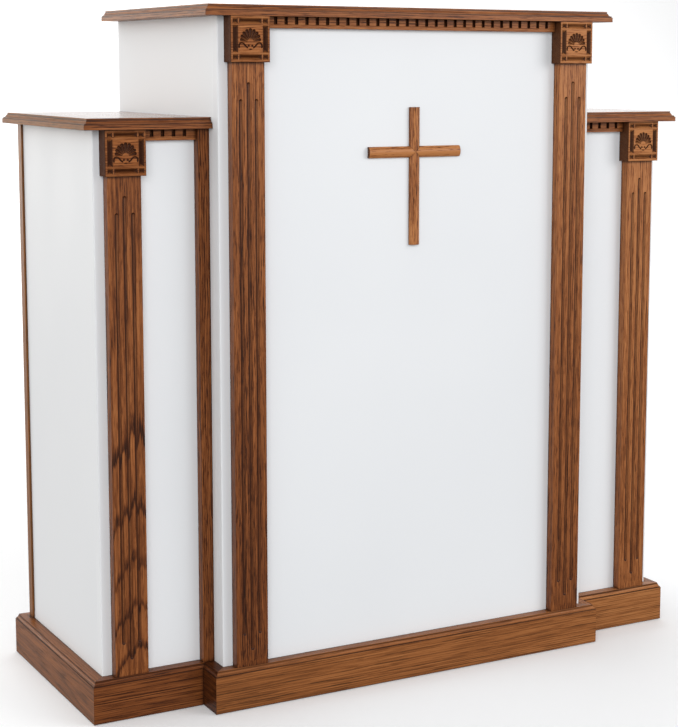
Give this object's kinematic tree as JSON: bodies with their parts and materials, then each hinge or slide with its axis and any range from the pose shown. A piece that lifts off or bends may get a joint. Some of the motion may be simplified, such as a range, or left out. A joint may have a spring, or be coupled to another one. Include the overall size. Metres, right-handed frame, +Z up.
{
  "type": "lectern stand",
  "caption": "Winged lectern stand: a tall panelled centre with a sloping reading desk, two lower side cabinets, fluted oak trim, open back with loose shelves.",
  "frame": {"origin": "middle of the bounding box's lower face, on the floor that the stand rests on", "axes": "+Z up; -Y is the carved front that faces the hall; +Y is the open back where the speaker stands; +X is the right hand of someone who looks at the front"},
  "size_m": [1.1632, 0.4756, 1.1684],
  "materials": {
    "white_panel": "satin white laminate on board",
    "stained_oak": "stained oak, satin lacquer",
    "zinc_steel": "zinc plated",
    "grey_nylon": "matt moulded nylon"
  },
  "bodies": {
    "cabinet": {"centre_front_panel": "white_panel", "centre_side_panel_left": "white_panel", "centre_side_panel_right": "white_panel", "centre_floor_panel": "white_panel", "centre_toe_rail": "white_panel", "reading_desk": "stained_oak", "book_stop": "stained_oak", "desk_cleat_left": "stained_oak", "desk_cleat_right": "stained_oak", "centre_top_front": "stained_oak", "centre_top_left": "stained_oak", "centre_top_right": "stained_oak", "centre_block_left": "stained_oak", "centre_block_right": "stained_oak", "centre_pilaster_left": "stained_oak", "centre_pilaster_right": "stained_oak", "centre_dentil": "stained_oak", "cross_upright": "stained_oak", "cross_arm_left": "stained_oak", "cross_arm_right": "stained_oak", "centre_base_front": "stained_oak", "centre_base_left": "stained_oak", "centre_base_right": "stained_oak", "left_wing_front_panel": "white_panel", "left_wing_side_panel": "white_panel", "left_wing_floor_panel": "white_panel", "left_wing_top_panel": "stained_oak", "left_wing_top_front": "stained_oak", "left_wing_top_side": "stained_oak", "left_wing_top_rear": "stained_oak", "left_wing_block": "stained_oak", "left_wing_pilaster": "stained_oak", "left_wing_strip": "stained_oak", "left_wing_rear_strip": "stained_oak", "left_wing_dentil": "stained_oak", "left_wing_base_front": "stained_oak", "left_wing_base_side": "stained_oak", "left_wing_base_rear": "stained_oak", "right_wing_front_panel": "white_panel", "right_wing_side_panel": "white_panel", "right_wing_floor_panel": "white_panel", "right_wing_top_panel": "stained_oak", "right_wing_top_front": "stained_oak", "right_wing_top_side": "stained_oak", "right_wing_top_rear": "stained_oak", "right_wing_block": "stained_oak", "right_wing_pilaster": "stained_oak", "right_wing_strip": "stained_oak", "right_wing_rear_strip": "stained_oak", "right_wing_dentil": "stained_oak", "right_wing_base_front": "stained_oak", "right_wing_base_side": "stained_oak", "right_wing_base_rear": "stained_oak", "shelf_pins": "zinc_steel", "joining_screws": "zinc_steel", "floor_glides": "grey_nylon"},
    "centre_shelf": {"centre_shelf": "white_panel"},
    "left_wing_shelf": {"left_wing_shelf": "white_panel"},
    "right_wing_shelf": {"right_wing_shelf": "white_panel"}
  },
  "joints": [
    {"name": "centre_shelf_slide", "type": "slide", "parent": "cabinet", "child": "centre_shelf", "axis": [0, 1, 0], "range_m": [0, 0.43]},
    {"name": "left_wing_shelf_slide", "type": "slide", "parent": "cabinet", "child": "left_wing_shelf", "axis": [0, 1, 0], "range_m": [0, 0.36]},
    {"name": "right_wing_shelf_slide", "type": "slide", "parent": "cabinet", "child": "right_wing_shelf", "axis": [0, 1, 0], "range_m": [0, 0.36]}
  ]
}
